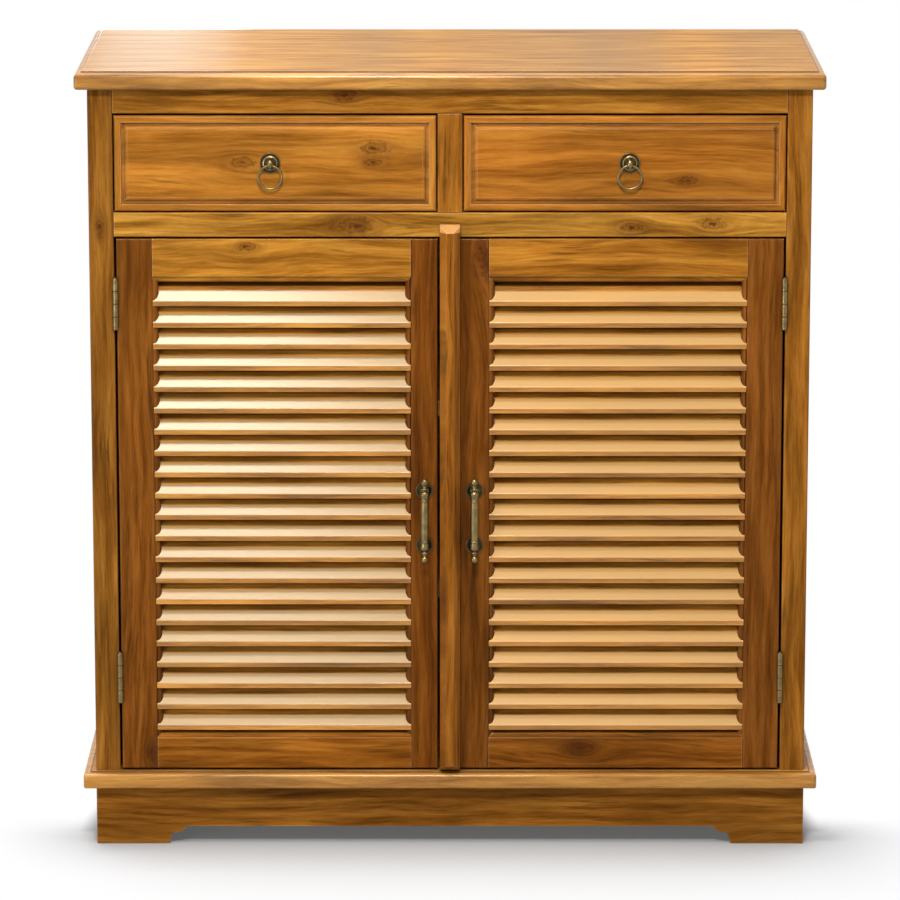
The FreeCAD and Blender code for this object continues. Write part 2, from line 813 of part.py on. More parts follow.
def cover_strip():
    """The bevelled strip on the right door, lapping the face of the middle rail."""
    half = strip_width / 2
    back = front_y
    front = front_y - strip_thickness
    flat_half = half - strip_side_bevel
    shoulder = front + strip_side_bevel_depth
    section = [(-half, back), (half, back), (half, shoulder), (flat_half, front), (-flat_half, front),
               (-half, shoulder)]
    low = door_low
    high = door_high + door_gap + strip_lap_up
    strip = extruded("xy", section, low, high)
    in_y = front + strip_end_bevel_depth
    reach = strip_end_bevel_height
    side_view = extruded("yz", [(back, low), (back, high), (in_y, high), (front, high - reach),
                                (front, low + reach), (in_y, low)], -half, half)
    strip = strip.common(side_view)
    return strip.cut(block((-half, half), (back - strip_face_room, back), (door_high, high)))


# ---------------------------------------------------------------------------------------
# Drawers, worked out at the right-hand side
# ---------------------------------------------------------------------------------------

drawer_x = (divider_width / 2 + drawer_side_gap, opening_half - drawer_side_gap)
drawer_z = (middle_top_z + drawer_bottom_gap, drawer_top_z - drawer_top_gap)
drawer_middle_x = (drawer_x[0] + drawer_x[1]) / 2
drawer_middle_z = (middle_top_z + drawer_top_z) / 2
box_x = (divider_width / 2 + drawer_box_room, opening_half - drawer_box_room)
box_low = middle_top_z + drawer_run_room
box_front = front_y + drawer_front_thickness
box_back = rear_rail_front - drawer_back_room
bottom_z = (box_low + drawer_bottom_height, box_low + drawer_bottom_height + drawer_bottom_thickness)
bottom_x = grown((box_x[0] + drawer_side_thickness, box_x[1] - drawer_side_thickness), drawer_groove_depth)
front_groove = block(bottom_x, (box_front - drawer_groove_depth, box_front + past), bottom_z)
pull_x = drawer_middle_x + pull_outward
pull_z = drawer_middle_z
field_y = front_y + panel_field_setback


def shrunk(bounds, amount):
    """Bounds with the same amount taken off both ends."""
    return (bounds[0] + amount, bounds[1] - amount)


def rectangle(x, z, y):
    """An upright rectangle at one depth."""
    return Part.makePolygon([V(x[0], y, z[0]), V(x[1], y, z[0]), V(x[1], y, z[1]), V(x[0], y, z[1]),
                             V(x[0], y, z[0])])


def raised_front():
    """The raised and fielded board, with a groove for the bottom and a hole for the pull."""
    x = shrunk(drawer_x, edging_width)
    z = shrunk(drawer_z, edging_width)
    quirk_floor = front_y + panel_quirk_depth
    board = block(x, (quirk_floor, box_front), z)
    bevel_x = shrunk(x, panel_quirk_width)
    bevel_z = shrunk(z, panel_quirk_width)
    bevel_front = quirk_floor - panel_bevel_rise
    ledge = block(bevel_x, (quirk_floor - panel_ledge, quirk_floor), bevel_z)
    bevel = Part.makeLoft([rectangle(bevel_x, bevel_z, quirk_floor - panel_ledge),
                           rectangle(shrunk(bevel_x, panel_bevel_width), shrunk(bevel_z, panel_bevel_width),
                                     bevel_front)], True, True)
    inset = panel_bevel_width + panel_fillet_width
    field = block(shrunk(bevel_x, inset), (field_y, bevel_front), shrunk(bevel_z, inset))
    board = board.fuse([ledge, bevel, field]).removeSplitter()
    hole = round_hole(pull_stem_radius + glue_room, V(pull_x, front_y - past, pull_z),
                      V(pull_x, box_front + past, pull_z))
    return board.cut([front_groove, hole])


def edging_strip(edge, inward, ends, plane):
    """One strip of the drawer front, its outer arris taken off; `ends` bounds its length."""
    section = [(edge + inward * edging_arris, front_y), (edge + inward * edging_width, front_y),
               (edge + inward * edging_width, box_front), (edge, box_front), (edge, front_y + edging_arris)]
    if plane == "yz":
        section = [(y, z) for z, y in section]
    return extruded(plane, section, *ends)


def edging():
    """Four strips round the raised board, mitred at the corners."""
    strips = []
    for (edge, other), ends, plane in [(drawer_z, drawer_x, "yz"), (drawer_z[::-1], drawer_x, "yz"),
                                       (drawer_x, drawer_z, "xy"), (drawer_x[::-1], drawer_z, "xy")]:
        inward = math.copysign(1, other - edge)
        tip = edge + inward * edging_width
        inner_ends = shrunk(ends, edging_width)
        mitre = [(edge, ends[0]), (edge, ends[1]), (tip, inner_ends[1]), (tip, inner_ends[0])]
        if plane == "yz":
            mitre = [(x, z) for z, x in mitre]
        strip = edging_strip(edge, inward, ends, plane)
        strips.append(strip.common(extruded("xz", mitre, front_y, box_front)).cut(front_groove))
    return strips


def drawer_box():
    """Sides, back and bottom; the bottom slides in under the back."""
    z = (box_low, box_low + drawer_side_height)
    t = drawer_side_thickness
    groove = block(bottom_x, (box_front, box_back), bottom_z)
    sides = [block((box_x[0], box_x[0] + t), (box_front, box_back), z).cut(groove),
             block((box_x[1] - t, box_x[1]), (box_front, box_back), z).cut(groove)]
    back = block((box_x[0] + t, box_x[1] - t), (box_back - t, box_back), (bottom_z[1], z[1]))
    bottom = block(bottom_x, (box_front - drawer_groove_depth, box_back), bottom_z)
    return sides, back, bottom


eye_y = field_y - eye_standoff
ring_pivot_z = pull_z - ring_below_rose
ring_radius = ring_outer_radius - ring_wire_radius


def pull_plate():
    """The stepped rose with its stem, the pear-shaped eye and the bolt through the front."""
    outline = [(-pull_bolt_length, pull_stem_radius), (0, pull_stem_radius), *rose_outline,
               (eye_standoff, pull_stem_radius)]
    plate = turned(outline, V(pull_x, field_y, pull_z), V(0, -1, 0))
    eye = turned(eye_outline, V(pull_x, eye_y, pull_z), V(0, 0, 1))
    reach = V(rose_outline[0][1], 0, 0)
    pivot = V(pull_x, eye_y, ring_pivot_z)
    bore = Part.makeCylinder(eye_bore_radius, 2 * reach.x, pivot - reach, reach)
    return plate.fuse(eye).cut(bore).removeSplitter()


def ring():
    """The ring, hanging from the eye."""
    return hoop(ring_radius, ring_wire_radius, V(pull_x, eye_y, ring_pivot_z - ring_radius))


def drawer(name, ring_name, place):
    """A drawer with its pull."""
    keep(name + "_front", place(raised_front()))
    keep(name + "_edging", *[place(strip) for strip in edging()])
    sides, back, bottom = drawer_box()
    keep(name + "_sides", *[place(side) for side in sides])
    keep(name + "_back", place(back))
    keep(name + "_bottom", place(bottom))
    keep(name + "_pull_plate", place(pull_plate()))
    keep(ring_name, place(ring()))


# ---------------------------------------------------------------------------------------
# Assembly
# ---------------------------------------------------------------------------------------

def as_made(shape):
    """Right-hand pieces stay where they were worked out."""
    return shape


carcass_frame()
boards()
plinth()
inside()
frame_hinges()
catches()
door("door_right", -strip_width / 2, as_made)
door("door_left", strip_width / 2 + meeting_gap, mirrored)
keep("cover_strip", cover_strip())
drawer("drawer_right", "ring_right", as_made)
drawer("drawer_left", "ring_left", mirrored)

os.makedirs("parts", exist_ok=True)
for node_name, node_shape in nodes.items():
    node_shape.exportStep("parts/" + node_name + ".step")
print(len(nodes), "nodes,", sum(len(shape.Solids) for shape in nodes.values()), "solids")
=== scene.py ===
import json
import math

import bmesh
import bpy
from mathutils import Matrix, Vector

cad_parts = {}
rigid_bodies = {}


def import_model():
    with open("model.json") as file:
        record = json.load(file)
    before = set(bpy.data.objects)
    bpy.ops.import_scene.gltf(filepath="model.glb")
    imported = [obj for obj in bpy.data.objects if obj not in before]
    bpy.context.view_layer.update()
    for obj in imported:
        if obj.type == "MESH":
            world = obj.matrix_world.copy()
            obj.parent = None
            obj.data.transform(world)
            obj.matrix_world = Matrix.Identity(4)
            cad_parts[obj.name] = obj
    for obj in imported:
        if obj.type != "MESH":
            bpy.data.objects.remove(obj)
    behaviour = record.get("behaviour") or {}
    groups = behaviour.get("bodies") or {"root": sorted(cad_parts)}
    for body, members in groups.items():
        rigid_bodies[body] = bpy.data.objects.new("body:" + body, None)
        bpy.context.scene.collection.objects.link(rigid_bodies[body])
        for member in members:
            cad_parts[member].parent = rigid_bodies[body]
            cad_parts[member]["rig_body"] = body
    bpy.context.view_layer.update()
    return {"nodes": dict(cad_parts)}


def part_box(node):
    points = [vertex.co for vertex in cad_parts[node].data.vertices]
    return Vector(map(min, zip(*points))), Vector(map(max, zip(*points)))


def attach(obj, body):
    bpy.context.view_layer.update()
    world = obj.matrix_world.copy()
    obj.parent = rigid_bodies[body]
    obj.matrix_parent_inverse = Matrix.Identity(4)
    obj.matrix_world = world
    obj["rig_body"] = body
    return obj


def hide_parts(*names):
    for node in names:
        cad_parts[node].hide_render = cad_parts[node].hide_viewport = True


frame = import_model()
nodes = frame["nodes"]
MM = 0.001

# ---------------------------------------------------------------------------------------
# Camera, lamps and studio
# ---------------------------------------------------------------------------------------

camera_place = (0.0, -6.5, 1.828)   # metres
camera_pitch = 11.91                # degrees below level
camera_lens = 212.6                 # mm

world_light = 0.30                  # the even light, where the world itself isn't seen
sky_light = 1.75
main_watts = 82.0
overhead_watts = 26.0
side_watts = 22.0
glare_watts = 2.4
cloth_tint = "#FFF6EA"              # the lamps' cloth is a little warm
floor_near = "#D2D7DE"              # the floor's paint by the cabinet
floor_bounce = "#B4B2AE"            # and as the cabinet's own light paths meet it
# the painted shadow's colour, where the plinth nearly meets the floor
floor_painted_shadow = "#2A2B2E"
floor_glow = 0.10                   # how white the floor is at the cabinet's foot
white_reach = 0.34                  # metres from the foot at which it is all white
side_haste, back_haste = 1.6, 3.0   # how much sooner it is white beside and behind
foot_side, foot_front, foot_back = 0.45, -0.2, 0.2


def linear(code):
    """An sRGB hex colour as linear red, green, blue and alpha."""
    parts = [int(code[i:i + 2], 16) / 255 for i in (1, 3, 5)]
    return (*[c / 12.92 if c <= 0.04045 else ((c + 0.055) / 1.055) ** 2.4 for c in parts], 1.0)


def add(tree, kind, *values, stops=(), **settings):
    """Adds a node. Its values go to the inputs in order, or to those that a dict names; a value is
    a number, a colour, a node (its first output) or one output of a node."""
    made = tree.nodes.new("ShaderNode" + kind)
    for name, value in settings.items():
        setattr(made, name, value)
    pairs = values[0].items() if values and isinstance(values[0], dict) else enumerate(values)
    for name, value in pairs:
        if isinstance(value, bpy.types.Node):
            value = value.outputs[0]
        if isinstance(value, bpy.types.NodeSocket):
            tree.links.new(value, made.inputs[name])
        else:
            made.inputs[name].default_value = value
    for i, (place, colour) in enumerate(stops):
        step = made.color_ramp.elements[i] if i < 2 else made.color_ramp.elements.new(place)
        step.position = place
        step.color = linear(colour) if isinstance(colour, str) else colour
    return made


def new_material(name):
    """An empty material and its tree."""
    made = bpy.data.materials.new(name)
    made.use_nodes = True
    made.node_tree.nodes.clear()
    return made, made.node_tree


# ---------------------------------------------------------------------------------------
# Materials
# ---------------------------------------------------------------------------------------

# In the materials a Mix of two colours takes its share at input 0 and the colours at 6 and 7,
# and gives output 2. Lengths are in mm.

# the axes along, across and into a board, by the axis that its grain follows
AXES = {"x": (0, 2, 1), "y": (1, 2, 0), "z": (2, 0, 1)}
# one board's timber from its dark streaks to its pale ones, as shares of its middle colour
timber_steps = [(0.26, (0.25, 0.18, 0.10)), (0.42, (0.66, 0.62, 0.48)), (0.53, (1.02, 1.06, 1.0)),
                (0.66, (1.40, 1.64, 1.9))]
# the slats: the lowest one's underside at the front, their spacing, slope and nose
slat_first, slat_pitch, slat_rise, slat_nose = 144.5, 26.435, math.tan(math.radians(52.0)), 6.5
# the painted light on the slats' slopes: its strength, and its depth in mm from the front to the
# painted shadow edge
slat_painted_light_share, painted_light_depth = 0.85, 7.6
slat_spread, board_spread = 3000.0, 137.0    # how far apart in the timber they were sawn
knot_width = 0.42                   # a knot's width as a share of its length
front_y = -185.0
quirk_ring = (441.0, 191.0, 0.0)    # the moulded boards' quirk, from the middle of the cabinet
lacquer_tint = "#E0AC66"
# the pale painted on the arrises (wear and painted highlight) and on the strip's end (painted
# highlight)
wear_and_highlight_pale = "#E4B274"
# the brown of the painted shade in corners, in the quirk and between the slats
painted_shade_brown = "#35170A"
knot_brown = "#3C190A"
common_streaks, calm_contrast = 0.62, 0.75


def lacquered_teak(name, body, grain, seed, knots=(), straw=None, gloss=0.0, wander=30.0,
                   streaks=common_streaks, contrast=1.0, arris_wear_and_highlight=0.25, painted_highlight_from=None):
    """Solid teak, planed, stained honey and lacquered. Its streaks wander a little off straight,
    part round the knots and go from nearly black to straw; painted shade darkens the corners, and
    the lacquer has a soft gloss, thicker and brighter on the arrises, which are also painted pale,
    as wear and as a painted highlight.

    body is the middle colour, straw the colour painted on the slats' slopes as painted light, gloss
    the coat of a moulded top and the painted shade in its quirk, wander the grain's stray in mm,
    streaks and contrast the strength of the figure, rubbed how pale the arrises are painted, as
    wear and painted highlight, and painted_highlight_from where the painted highlight on a bevelled
    end starts, in mm along the board."""
    made, tree = new_material(name)
    base = linear(body)
    steps = [(at, (*[base[i] * share[i] ** contrast for i in range(3)], 1.0))
             for at, share in timber_steps]
    dark = linear(painted_shade_brown)
    place = add(tree, "VectorMath", add(tree, "TexCoord").outputs["Object"], (1000.0,) * 3,
                operation="MULTIPLY")
    parts = add(tree, "SeparateXYZ", place)
    along, across, depth = [parts.outputs[i] for i in AXES[grain]]
    span = add(tree, "Math", along, seed * board_spread, operation="ADD")
    if straw:
        # each slat is a board of its own: its number, counted up the slope
        level = add(tree, "Math", parts.outputs[1], -slat_rise, parts.outputs[2],
                    operation="MULTIPLY_ADD")
        level = add(tree, "Math", level, slat_first - front_y * slat_rise, operation="SUBTRACT")
        level = add(tree, "Math", level, slat_pitch, operation="DIVIDE")
        number = add(tree, "Math", level, operation="FLOOR")
        above = add(tree, "Math", level, number, operation="SUBTRACT")
        above = add(tree, "Math", above, slat_pitch, operation="MULTIPLY")
        own = add(tree, "Math", number, seed * 7.3, operation="ADD")
        own = add(tree, "TexWhiteNoise", {"W": own}, noise_dimensions="1D").outputs["Value"]
        span = add(tree, "Math", own, slat_spread, span, operation="MULTIPLY_ADD")
    # the grain wanders off straight, in waves some 240 mm long
    bend = add(tree, "VectorMath", add(tree, "CombineXYZ", span, across, depth),
               (1 / 240, 1 / 80, 1 / 90), operation="MULTIPLY")
    bend = add(tree, "TexNoise", {"Vector": bend, "Scale": 1.0, "Detail": 2.0, "Roughness": 0.45})
    lines = add(tree, "Math", bend, wander, across, operation="MULTIPLY_ADD")
    lines = add(tree, "Math", depth, 0.8, lines, operation="MULTIPLY_ADD")
    cores = []
    for knot_along, knot_across, size in knots:
        run = add(tree, "Math", along, knot_along, operation="SUBTRACT")
        run = add(tree, "Math", run, knot_width, operation="MULTIPLY")
        rise = add(tree, "Math", across, knot_across, operation="SUBTRACT")
        away = add(tree, "VectorMath", add(tree, "CombineXYZ", run, rise),
                   operation="LENGTH").outputs["Value"]
        # the grain parts round the knot as water does round a post
        parted = add(tree, "Math", size * 1.5, away, operation="DIVIDE")
        parted = add(tree, "Math", parted, 2.0, operation="POWER")
        parted = add(tree, "Math", parted, 1.0, operation="MINIMUM")
        pushed = add(tree, "Math", rise, parted, operation="MULTIPLY")
        lines = add(tree, "Math", pushed, -1.0, lines, operation="MULTIPLY_ADD")
        # a ragged dark heart, a ring round it and a stained halo
        ragged = add(tree, "TexNoise", {"Vector": place, "Scale": 0.13, "Detail": 4.0,
                                        "Roughness": 0.7})
        away = add(tree, "Math", ragged, size * 2.6, away, operation="MULTIPLY_ADD")
        away = add(tree, "Math", away, size * 1.3, operation="SUBTRACT")
        ring = add(tree, "Math", away, size * 0.95, operation="SUBTRACT")
        ring = add(tree, "Math", ring, operation="ABSOLUTE")
        cores += [add(tree, "MapRange", away, size * 0.1, size * 0.6, 0.85, 0.0),
                  add(tree, "MapRange", ring, 0.0, size * 0.25, 0.6, 0.0),
                  add(tree, "MapRange", away, size * 0.5, size * 3.0, 0.45, 0.0)]
    # streaks 11 mm wide and 190 mm long
    figure = add(tree, "VectorMath", add(tree, "CombineXYZ", lines, span, seed * 3.1),
                 (1 / 11, 1 / 190, 1.0), operation="MULTIPLY")
    figure = add(tree, "TexNoise", {"Vector": figure, "Scale": 1.0, "Detail": 6.0,
                                    "Roughness": 0.70})
    colour = add(tree, "ValToRGB", figure, stops=steps)
    # dark mineral wisps, 4.5 mm wide and 80 mm long, here and there in a board
    wisps = add(tree, "VectorMath", add(tree, "CombineXYZ", lines, span, seed * 5.7),
                (1 / 4.5, 1 / 80, 1.0), operation="MULTIPLY")
    wisps = add(tree, "TexNoise", {"Vector": wisps, "Scale": 1.0, "Detail": 3.0, "Roughness": 0.6})
    wisps = add(tree, "MapRange", wisps, 0.54, 0.66, 0.0, streaks)
    where = add(tree, "VectorMath", add(tree, "CombineXYZ", lines, span, seed * 2.3),
                (1 / 34, 1 / 150, 1.0), operation="MULTIPLY")
    where = add(tree, "TexNoise", {"Vector": where, "Scale": 1.0, "Detail": 1.0})
    where = add(tree, "MapRange", where, 0.42, 0.62, 0.12, 1.0)
    wisps = add(tree, "Math", wisps, where, operation="MULTIPLY")
    colour = add(tree, "Mix", {0: wisps, 6: colour, 7: (*[base[i] * 0.16 for i in range(3)], 1.0)},
                 data_type="RGBA").outputs[2]
    # one board is never one tone
    broad = add(tree, "VectorMath", add(tree, "CombineXYZ", span, across, seed * 1.7),
                (1 / 170, 1 / 40, 1.0), operation="MULTIPLY")
    broad = add(tree, "TexNoise", {"Vector": broad, "Scale": 1.0, "Detail": 1.0})
    value = add(tree, "MapRange", broad, 0.27, 0.73, 0.74, 1.22)
    if straw:
        own = add(tree, "MapRange", own, 0.0, 1.0, 0.84, 1.1)
        value = add(tree, "Math", value, own, operation="MULTIPLY")
    # open pores drawn out along the grain; real ones are 0.3 mm wide, and these are three times
    # that so that they show
    pores = add(tree, "VectorMath", add(tree, "CombineXYZ", span, lines, depth),
                (1 / 18, 1 / 0.9, 1.0), operation="MULTIPLY")
    pores = add(tree, "TexNoise", {"Vector": pores, "Scale": 1.0, "Detail": 2.0})
    value = add(tree, "Math", value, add(tree, "MapRange", pores, 0.32, 0.5, 0.86, 1.0),
                operation="MULTIPLY")
    colour = add(tree, "HueSaturation", {"Color": colour, "Value": value}).outputs[0]
    if painted_highlight_from:
        # painted highlight: the bevelled end is painted paler, as where it faces up to the light
        end = add(tree, "MapRange", along, painted_highlight_from, painted_highlight_from + 1.0, 0.0, 0.6)
        colour = add(tree, "Mix", {0: end, 6: colour, 7: linear(wear_and_highlight_pale)},
                     data_type="RGBA").outputs[2]
    for core in cores:
        colour = add(tree, "Mix", {0: core, 6: colour, 7: linear(knot_brown)},
                     data_type="RGBA").outputs[2]
    if straw:
        # painted light: the slopes are painted paler as far back as the lamps reach them, ending in
        # a crisp painted shadow edge where the slat above would shade them; the noses keep their
        # stain, and painted shade makes it dark between the slats
        pale = add(tree, "MapRange", above, slat_nose - 1.3, slat_nose - 0.2, 0.0, slat_painted_light_share)
        inwards = add(tree, "Math", parts.outputs[1], front_y, operation="SUBTRACT")
        reach = add(tree, "MapRange", inwards, painted_light_depth, painted_light_depth + 0.9, 1.0, 0.0)
        pale = add(tree, "Math", pale, reach, operation="MULTIPLY")
        colour = add(tree, "Mix", {0: pale, 6: colour, 7: linear(straw)},
                     data_type="RGBA").outputs[2]
        # painted shade: dark at the back of each slope, between the slats
        inwards = add(tree, "MapRange", inwards, 11.8, 13.6, 0.0, 0.85)
        colour = add(tree, "Mix", {0: inwards, 6: colour, 7: dark}, data_type="RGBA").outputs[2]
    # painted shade: darker in the corners and recesses, where shade falls
    corner = add(tree, "AmbientOcclusion", {"Distance": 0.008}, samples=6)
    corner = add(tree, "MapRange", corner.outputs["AO"], 0.12, 0.66, 0.8, 0.0)
    colour = add(tree, "Mix", {0: corner, 6: colour, 7: dark}, data_type="RGBA").outputs[2]
    # the arrises are painted pale, partly as wear and partly as a painted highlight, and lacquer
    # builds up on them
    arris = add(tree, "AmbientOcclusion", {"Distance": 0.0018}, samples=6, inside=True,
                only_local=True)
    pale = add(tree, "MapRange", arris.outputs["AO"], 0.45, 0.9, arris_wear_and_highlight, 0.0)
    colour = add(tree, "Mix", {0: pale, 6: colour, 7: linear(wear_and_highlight_pale)},
                 data_type="RGBA").outputs[2]
    coat = add(tree, "MapRange", arris.outputs["AO"], 0.6, 0.95, 0.9, 1.0 if straw else gloss)
    if gloss:
        # painted shade: the quirk behind the nose is painted dark; the coat is thicker on the nose,
        # which makes it bright
        near = add(tree, "VectorMath", place, operation="ABSOLUTE")
        near = add(tree, "VectorMath", near, quirk_ring, operation="SUBTRACT")
        near = add(tree, "SeparateXYZ", near)
        nose = add(tree, "Math", near.outputs[0], near.outputs[1], operation="MAXIMUM")
        quirk_painted_shade = add(tree, "Math", nose, operation="ABSOLUTE")
        quirk_painted_shade = add(tree, "MapRange", quirk_painted_shade, 0.5, 1.3, 0.75, 0.0)
        colour = add(tree, "Mix", {0: quirk_painted_shade, 6: colour, 7: dark}, data_type="RGBA").outputs[2]
        nose = add(tree, "MapRange", nose, 1.5, 2.5, 0.0, 0.7)
        coat = add(tree, "Math", coat, nose, operation="MAXIMUM")
    smoothest, roughest = (0.46, 0.56) if gloss else (0.34, 0.44)
    rough = add(tree, "MapRange", broad, 0.3, 0.7, smoothest, roughest)
    relief = add(tree, "Bump", {"Height": pores, "Strength": 0.10, "Distance": 0.0004})
    shader = add(tree, "BsdfPrincipled", {
        "Base Color": colour, "Roughness": rough, "Normal": relief, "IOR": 1.5,
        "Specular IOR Level": 0.3, "Specular Tint": linear(lacquer_tint), "Coat Weight": coat,
        "Coat Roughness": 0.22})
    add(tree, "OutputMaterial", shader)
    return made


def antique_brass(name, shade, body):
    """Cast and turned brass, browned by age: dull in its hollows and worn bright where hands
    reach."""
    made, tree = new_material(name)
    place = add(tree, "TexCoord").outputs["Object"]
    cloud = add(tree, "TexNoise", {"Vector": place, "Scale": 160.0, "Detail": 3.0})
    colour = add(tree, "ValToRGB", cloud, stops=[(0.35, shade), (0.65, body)])
    corner = add(tree, "AmbientOcclusion", {"Distance": 0.004}, samples=6)
    corner = add(tree, "MapRange", corner.outputs["AO"], 0.3, 0.85, 0.85, 0.0)
    colour = add(tree, "Mix", {0: corner, 6: colour, 7: linear("#2B2314")},
                 data_type="RGBA").outputs[2]
    rough = add(tree, "MapRange", cloud, 0.3, 0.7, 0.38, 0.30)
    shader = add(tree, "BsdfPrincipled", {"Base Color": colour, "Metallic": 1.0,
                                          "Roughness": rough})
    add(tree, "OutputMaterial", shader)
    return made


def plain(name, low, high, roughness, metallic=0.0, scale=25.0):
    """A plain finish with a faint mottle."""
    made, tree = new_material(name)
    place = add(tree, "TexCoord").outputs["Object"]
    cloud = add(tree, "TexNoise", {"Vector": place, "Scale": scale, "Detail": 4.0})
    colour = add(tree, "ValToRGB", cloud, stops=[(0.35, low), (0.65, high)])
    shader = add(tree, "BsdfPrincipled", {"Base Color": colour, "Roughness": roughness,
                                          "Metallic": metallic})
    add(tree, "OutputMaterial", shader)
    return made


# ---------------------------------------------------------------------------------------
# Making pieces
# ---------------------------------------------------------------------------------------

def body_of(node):
    """The body that a CAD node belongs to."""
    return nodes[node]["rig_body"]


def new_piece(name, bm, body, materials, replaced=(), smooth=40.0):
    """Turns a bmesh into a finished piece that rides its body."""
    mesh = bpy.data.meshes.new(name)
    bm.to_mesh(mesh)
    bm.free()
    mesh.shade_smooth()
    mesh.set_sharp_from_angle(angle=math.radians(smooth))
    made = bpy.data.objects.new(name, mesh)
    bpy.context.scene.collection.objects.link(made)
    for material in materials:
        mesh.materials.append(material)
    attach(made, body)
    if replaced:
        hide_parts(*replaced)
    return made


def dress_wood(node, materials, arris=0.6, heavy=None):
    """A wooden node with its arrises rounded. heavy picks the edges (by their middles, in mm) that
    are rounded three times as much. A frame of mitred strips has a material for the level strips
    and one for the upright ones."""
    bm = bmesh.new()
    bm.from_mesh(nodes[node].data)
    bmesh.ops.remove_doubles(bm, verts=bm.verts, dist=0.002 * MM)
    if len(materials) == 2:
        low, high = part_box(node)
        bm.normal_update()
        mitres = [face for face in bm.faces if min(abs(face.normal.x), abs(face.normal.z)) > 0.6]
        bmesh.ops.delete(bm, context="FACES", geom=mitres)
        for face in bm.faces:
            p = face.calc_center_median()
            upright = min(p.x - low.x, high.x - p.x) < min(p.z - low.z, high.z - p.z)
            face.material_index = int(upright)
    bmesh.ops.dissolve_limit(bm, angle_limit=math.radians(0.5), verts=bm.verts, edges=bm.edges,
                             delimit={"MATERIAL"})
    weight = bm.edges.layers.float.new("bevel_weight_edge")
    for edge in bm.edges:
        if len(edge.link_faces) == 2 and edge.calc_face_angle() > math.radians(32):
            middle = (edge.verts[0].co + edge.verts[1].co) / 2 / MM
            edge[weight] = 1.0 if heavy and heavy(middle) else 1 / 3
    made = new_piece(node + "_wood", bm, body_of(node), materials, [node])
    rounding = made.modifiers.new("arris", "BEVEL")
    rounding.width = 3 * arris * MM
    rounding.segments = 3
    rounding.limit_method = "WEIGHT"
    rounding.use_clamp_overlap = False
    rounding.harden_normals = True
    return made


def rim_of(*parts):
    """A test for the edges on the outer rim of the front that some nodes make together."""
    boxes = [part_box(part) for part in parts]
    low = [min(box[0][i] for box in boxes) / MM for i in range(3)]
    high = [max(box[1][i] for box in boxes) / MM for i in range(3)]

    def test(p):
        sides = [abs(p.x - low[0]), abs(p.x - high[0]), abs(p.z - low[2]), abs(p.z - high[2])]
        return abs(p.y - low[1]) < 0.6 and min(sides) < 0.6
    return test


# ---------------------------------------------------------------------------------------
# The woodwork: middle colour, grain, seed and knots. A knot is (along, across, size) in mm
# ---------------------------------------------------------------------------------------

boards = {
    "top_board": ("#A97632", "x", 1, []),
    "front_post_left": ("#7F511C", "z", 2, [(770, -422, 4.0)]),
    "front_post_right": ("#8D591E", "z", 3, []),
    "rear_posts": ("#90591F", "z", 4, []),
    "top_rail": ("#946021", "x", 5, [(-126, 930, 5.0)]),
    "drawer_divider": ("#8E581C", "z", 6, []),
    "middle_rail": ("#A4722C", "x", 7, [(-114, 772, 8.0), (218, 770, 4.8), (316, 774, 5.6)]),
    "side_rails": ("#90591F", "y", 8, []),
    "side_panel_left": ("#A56B28", "z", 9, []),
    "side_panel_right": ("#A56B28", "z", 10, []),
    "rear_rails": ("#A87A42", "x", 11, []),
    "base_board": ("#A97631", "x", 12, []),
    "plinth_front": ("#84531C", "x", 13, []),
    "plinth_left": ("#80501B", "y", 14, []),
    "plinth_right": ("#80501B", "y", 15, []),
    "plinth_rear": ("#80501B", "x", 16, []),
    "corner_blocks": ("#A87A42", "z", 17, []),
    "top_cleats": ("#A87A42", "x", 18, []),
    "drawer_runners": ("#A87A42", "y", 19, []),
    "shelf_upper": ("#B0834A", "x", 20, []),
    "shelf_lower": ("#AD8047", "x", 21, []),
    "shelf_cleats": ("#A87A42", "y", 22, []),
    "door_left_outer_stile": ("#704014", "z", 31, [(116, -366, 5.0)]),
    "door_left_inner_stile": ("#69390F", "z", 32, []),
    "door_left_upper_rail": ("#A97128", "x", 33, [(-244, 746, 4.2)]),
    "door_left_lower_rail": ("#854F17", "x", 34, []),
    "door_left_slats": ("#AC742C", "x", 35, []),
    "door_right_outer_stile": ("#744216", "z", 51, []),
    "door_right_inner_stile": ("#6B3C12", "z", 52, [(741, 37, 6.0), (723, 46, 6.6)]),
    "door_right_upper_rail": ("#996220", "x", 53, []),
    "door_right_lower_rail": ("#7D4916", "x", 54, [(159, 122, 6.0)]),
    "door_right_slats": ("#AC742C", "x", 55, []),
    "cover_strip": ("#8C551B", "z", 60, []),
    "drawer_left_front": ("#9F6725", "x", 36, [(-249, 849, 5.4), (-90, 866, 6.0), (-92, 849, 4.0)]),
    "drawer_right_front": ("#975E20", "x", 56, [(287, 827, 4.0)]),
    "drawer_left_sides": ("#A87A42", "y", 39, []),
    "drawer_right_sides": ("#A87A42", "y", 59, []),
    "drawer_left_back": ("#A87A42", "x", 40, []),
    "drawer_right_back": ("#A87A42", "x", 61, []),
}
# the colours painted on the slats' slopes as painted light, the left door's being the greyer
slat_painted_light_straws = {"door_left_slats": "#A69067", "door_right_slats": "#C09A5E"}
# the finishes whose boards are picked for a quiet figure, with the strength of their streaks
calm_streaks = {"teak_top": 0.3, "teak_drawers": 0.4, "teak_slats": 0.5, "teak_inside": 0.35}
inside_nodes = {"rear_rails", "corner_blocks", "top_cleats", "drawer_runners", "shelf_upper",
                "shelf_lower", "shelf_cleats", "drawer_left_sides", "drawer_right_sides",
                "drawer_left_back", "drawer_right_back"}
strip_end = 765.0    # mm up, where the cover strip's sawn and bevelled end starts, painted paler as a painted highlight


def slot_for(node):
    """The record's finish for a wooden node."""
    if node in inside_nodes:
        return "teak_inside"
    if node in ("top_board", "base_board"):
        return "teak_top"
    if node.startswith("drawer_") and node != "drawer_divider":
        return "teak_drawers"
    if node.endswith("_slats"):
        return "teak_slats"
    return "teak_doors" if node.startswith("door_") or node == "cover_strip" else "teak_frame"


